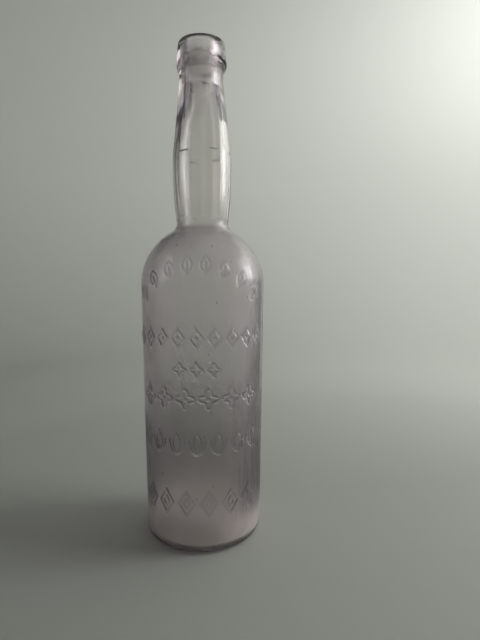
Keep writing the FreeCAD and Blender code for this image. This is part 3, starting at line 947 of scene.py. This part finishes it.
def old_glass(name, gloss, worn, dull, film_code):
    """Soda-lime glass that sunlight has turned faintly amethyst, which shows most where it is thick.

    Its outside is glossy with fine handling scuffs; hazed places are etched dull by what stood there.
    """
    material, tree = new_material(name)
    spots = add(tree, "ShaderNodeTexCoord").outputs["Object"]
    place = add(tree, "ShaderNodeSeparateXYZ", {0: spots}).outputs
    haze = add(tree, "ShaderNodeAttribute", attribute_name="haze").outputs["Fac"]
    etching = add(tree, "ShaderNodeTexNoise", {
        "Vector": spots, "Scale": 1 / (ETCH_SIZE * MM), "Detail": 5.0}).outputs[0]
    across, along = 1 / (DRAW_WIDTH * MM), 1 / (DRAW_LENGTH * MM)
    stretched = add(tree, "ShaderNodeMapping", {"Vector": spots, "Scale": (across, across, along)})
    lines = add(tree, "ShaderNodeTexNoise", {
        "Vector": stretched.outputs[0], "Scale": 1.0, "Detail": 2.0}).outputs[0]
    drawn = add(tree, "ShaderNodeBump", {
        "Height": lines, "Strength": DRAW_STRENGTH, "Distance": DRAW_DEPTH * MM})
    film = add(tree, "ShaderNodeMath", {0: haze, 1: etching}, operation="MULTIPLY").outputs[0]
    residue = settled_residue(tree, place["Z"], film)
    clean = add(tree, "ShaderNodeMath", {
        0: 1.0, 1: residue}, operation="SUBTRACT", use_clamp=True).outputs[0]
    streaked = mauve_streaks(tree, haze, lines, place["X"], place["Z"], clean)
    colour = linear(GLASS_COLOUR)
    # Tones laid over the clear glass: haze film, residue, mauve streaks, and grime with painted shade at
    # the foot and on the relief
    for share, code in ((film, film_code), (residue, RESIDUE_COLOUR), (streaked, MAUVE_STREAK_COLOUR),
                        (grime_and_painted_shade(tree, place["Z"]), GRIME_AND_SHADE_COLOUR)):
        colour = add(tree, "ShaderNodeMix", {
            "Factor": share, 6: colour, 7: linear(code)}, data_type="RGBA").outputs[2]
    shader = add(tree, "ShaderNodeBsdfPrincipled", {
        "Base Color": colour, "Normal": drawn.outputs[0], "IOR": GLASS_IOR,
        "Roughness": glass_roughness(tree, spots, haze, etching, gloss, worn, dull),
        "Transmission Weight": clean})
    depth = add(tree, "ShaderNodeVolumeAbsorption", {
        "Color": linear(AMETHYST_COLOUR), "Density": AMETHYST_DENSITY})
    lamp_ray = add(tree, "ShaderNodeLightPath").outputs["Is Shadow Ray"]
    clear = add(tree, "ShaderNodeBsdfTransparent", {"Color": linear(SHADOW_COLOUR)})
    glass = add(tree, "ShaderNodeMixShader", {0: lamp_ray, 1: shader.outputs[0], 2: clear.outputs[0]})
    add(tree, "ShaderNodeOutputMaterial", {
        "Surface": glass.outputs[0], "Volume": depth.outputs["Volume"]})
    return material


# Turns between faces from which an edge is a true corner
BODY_CORNER = math.radians(30)
LIP_CORNER = math.radians(45)


def make_body():
    plan = ornament_plan()
    points = [vertex.co / MM for vertex in plan.data.vertices]
    rows = body_rows([[points[index] for index in edge.vertices] for edge in plan.data.edges])
    mesh = shell_mesh("bottle_body", rows, False, body_uneven)
    outside = [0.0 if row.inside or row.level < HEEL_RADIUS or row.level > TAPER_TOP else 1.0
               for row in rows for _ in columns_of(row)]
    mesh.attributes.new("skin", "FLOAT", "POINT").data.foreach_set("value", outside)
    mesh.set_sharp_from_angle(angle=BODY_CORNER)
    piece = new_object("bottle_body", mesh)
    glass = old_glass("mould-blown glass, hazed inside", gloss=0.09, worn=0.16, dull=0.48,
                      film_code="#F0EEF0")
    piece.data = baked(piece, moulded_glass_tree(), {
        "Plan": plan, "Ridge Top": RIDGE_TOP * MM, "Ridge Reach": RIDGE_REACH * MM,
        "Ridge Height": RIDGE_HEIGHT * MM, "Strike Size": STRIKE_SIZE * MM,
        "Seeds per m2": SEEDS_PER_M2, "Seed": SEED_DRAW, "Seed Depth": SEED_DEPTH * MM,
        "Smallest Seed": SMALLEST_SEED * MM, "Largest Seed": LARGEST_SEED * MM, "Glass": glass})
    bpy.data.objects.remove(plan)
    return piece


def make_lip():
    mesh = shell_mesh("bottle_lip", lip_rows(), True, lip_uneven)
    mesh.set_sharp_from_angle(angle=LIP_CORNER)
    mesh.materials.append(old_glass("tooled lip glass, fire-polished", gloss=0.1, worn=0.1, dull=0.5,
                                    film_code="#C4C0C0"))
    return new_object("bottle_lip", mesh)


for piece, node, slot in ((make_body(), "glass_body", "body_glass"),
                          (make_lip(), "applied_lip", "lip_glass")):
    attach(piece, "root")
    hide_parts(node)

# Studio: a round pale cove, open above
COVE_FLOOR = 0.62
COVE_BEND = 0.4
COVE_HEIGHT = 1.3
COVE_STEP = 0.04
FLOOR_COLOUR = "#A3A59F"
WALL_COLOUR = "#BABCB6"
PAPER_ROUGHNESS = 0.9


def paper(name, first_code, last_code, axis, first, last):
    """Matt paper that shades from one tone to another along an axis."""
    material, tree = new_material(name)
    spots = add(tree, "ShaderNodeTexCoord").outputs["Object"]
    place = add(tree, "ShaderNodeSeparateXYZ", {0: spots}).outputs[axis]
    share = add(tree, "ShaderNodeMapRange", {"Value": place, "From Min": first, "From Max": last})
    tone = add(tree, "ShaderNodeMix", {
        "Factor": share.outputs[0], 6: linear(first_code), 7: linear(last_code)}, data_type="RGBA")
    shader = add(tree, "ShaderNodeBsdfPrincipled", {
        "Base Color": tone.outputs[2], "Roughness": PAPER_ROUGHNESS})
    add(tree, "ShaderNodeOutputMaterial", {"Surface": shader.outputs["BSDF"]})
    return material


def cove():
    flat, bend = COVE_FLOOR / MM, COVE_BEND / MM
    wall = flat + bend
    pieces = [(spot(wall, COVE_HEIGHT / MM), spot(wall, bend)),
              (spot(wall, bend), spot(flat, bend), spot(flat, 0)),
              (spot(flat, 0), spot(0, 0))]
    points = [p for piece in pieces for p in run_points(piece, COVE_STEP / MM)] + [spot(0, 0)]
    mesh = shell_mesh("cove", [Row(p.x, p.y, PLAIN) for p in points], False, lambda *_: (0.0, 0.0))
    mesh.materials.append(paper("pale studio paper", FLOOR_COLOUR, WALL_COLOUR, "Z", 0.0, COVE_BEND))
    new_object("cove", mesh)


cove()

# Lamps: place, aim, size, power, and the kinds of ray besides the camera's that miss it
LAMPS = {
    "window_right": ((0.735, 0.145, 0.36), (0, 0, 0.2), (0.3, 0.2), 1.1, ()),
    "window_right_top": ((0.735, 0.145, 0.56), (0, 0, 0.24), (0.4, 0.2), 0.45, ("diffuse",)),
    "window_left": ((-0.42, -0.16, 0.36), (0, 0, 0.22), (0.14, 0.3), 0.3, ("diffuse",)),
    "wash_wall": ((0.62, 0.3, 0.75), (0.5, 1.0, 0.6), (0.5, 0.5), 8.6, ()),
    "wash_floor": ((0.6, 0.0, 0.4), (0.15, -0.1, 0), (0.3, 0.3), 2.0, ("glossy", "transmission")),
    "ceiling": ((0.3, 0.1, 1.25), (0, 0, 0), (1.0, 1.0), 1.6, ("glossy",)),
}


def lamp(name, place, aim, size, power, unlit):
    """A soft rectangular lamp that the camera doesn't see."""
    data = bpy.data.lights.new(name, "AREA")
    data.shape = "RECTANGLE"
    data.size, data.size_y = size
    data.energy = power
    made = new_object(name, data)
    made.location = place
    made.rotation_euler = (Vector(aim) - Vector(place)).to_track_quat("-Z", "Y").to_euler()
    for kind in ("camera", *unlit):
        setattr(made, "visible_" + kind, False)


for lamp_name, lamp_values in LAMPS.items():
    lamp(lamp_name, *lamp_values)

# Cards: for upright ones two corners in plan, the levels of their edges, and tones from left to right
UPRIGHT_CARDS = {
    "card_left": ((-0.5, -0.35), (-0.4, 0.1), (0.0, 0.8), ("#8E908B", "#8E908B")),
    "card_back": ((-0.4, 0.1), (-0.3, 0.55), (0.0, 0.405), ("#969893", "#969893")),
    "flag_back": ((-0.4, 0.1), (-0.3, 0.55), (0.405, 0.9), ("#222321", "#222321")),
    "card_right": ((0.24, 0.36), (0.3, 0.0), (0.0, 0.17), ("#8E908B", "#70726E")),
}
# The floor card's tones are painted shade and light, seen only through the glass: dark on the left, pale
# on the right, as light from the right falls
FLOOR_CARD_TONES = ("#262725", "#8C8E88")
CARD_SPREAD = 0.2
# The card on the floor is a ring round the foot: its radii, how far the outer one is shifted, its corners
CARD_RING = (0.055, 0.34)
CARD_SHIFT = 0.1
CARD_LIFT = 0.0005
RING_CORNERS = 48


def glass_card(name, corners, faces, left_code, right_code):
    """A card that only glass sees, as a photographer flags glass to draw its edges and relief."""
    mesh = bpy.data.meshes.new(name)
    mesh.from_pydata(corners, [], faces)
    mesh.materials.append(paper(name, left_code, right_code, "X", -CARD_SPREAD, CARD_SPREAD))
    made = new_object(name, mesh)
    made.visible_camera = made.visible_diffuse = made.visible_shadow = False


def cards():
    for name, (near, far, (low, high), tones) in UPRIGHT_CARDS.items():
        corners = [(*near, low), (*far, low), (*far, high), (*near, high)]
        glass_card(name, corners, [(0, 1, 2, 3)], *tones)
    corners = [(radius * math.cos(t) + shift, radius * math.sin(t), CARD_LIFT)
               for radius, shift in zip(CARD_RING, (0.0, CARD_SHIFT)) for t in full_turn(RING_CORNERS)]
    afters = [(n + 1) % RING_CORNERS for n in range(RING_CORNERS)]
    faces = [(n, n + RING_CORNERS, after + RING_CORNERS, after) for n, after in enumerate(afters)]
    glass_card("card_floor", corners, faces, *FLOOR_CARD_TONES)


cards()

# Faint even light from all round
WORLD_COLOUR = "#C8CACB"
WORLD_STRENGTH = 0.1
world = bpy.data.worlds.new("studio")
bpy.context.scene.world = world
world.use_nodes = True
world.node_tree.nodes["Background"].inputs["Color"].default_value = linear(WORLD_COLOUR)
world.node_tree.nodes["Background"].inputs["Strength"].default_value = WORLD_STRENGTH

# Camera: at shoulder height, close, a little to the right of the moulded front
CAMERA_REACH = 0.2714
CAMERA_HEIGHT = 0.1485
CAMERA_SIDE = math.radians(6.0)
CAMERA_PITCH = math.radians(5.0)
CAMERA_TURN = math.radians(4.6)
CAMERA_NEAREST = 0.01
LENS = 26.0
SENSOR_WIDTH = 36.0


def add_camera():
    data = bpy.data.cameras.new("camera")
    data.lens = LENS
    data.sensor_width = SENSOR_WIDTH
    data.clip_start = CAMERA_NEAREST
    made = new_object("camera", data)
    made.location = (CAMERA_REACH * math.sin(CAMERA_SIDE), -CAMERA_REACH * math.cos(CAMERA_SIDE),
                     CAMERA_HEIGHT)
    made.rotation_euler = (math.pi / 2 - CAMERA_PITCH, 0, CAMERA_SIDE - CAMERA_TURN)
    bpy.context.scene.camera = made


add_camera()
bpy.context.scene.view_settings.view_transform = "Standard"
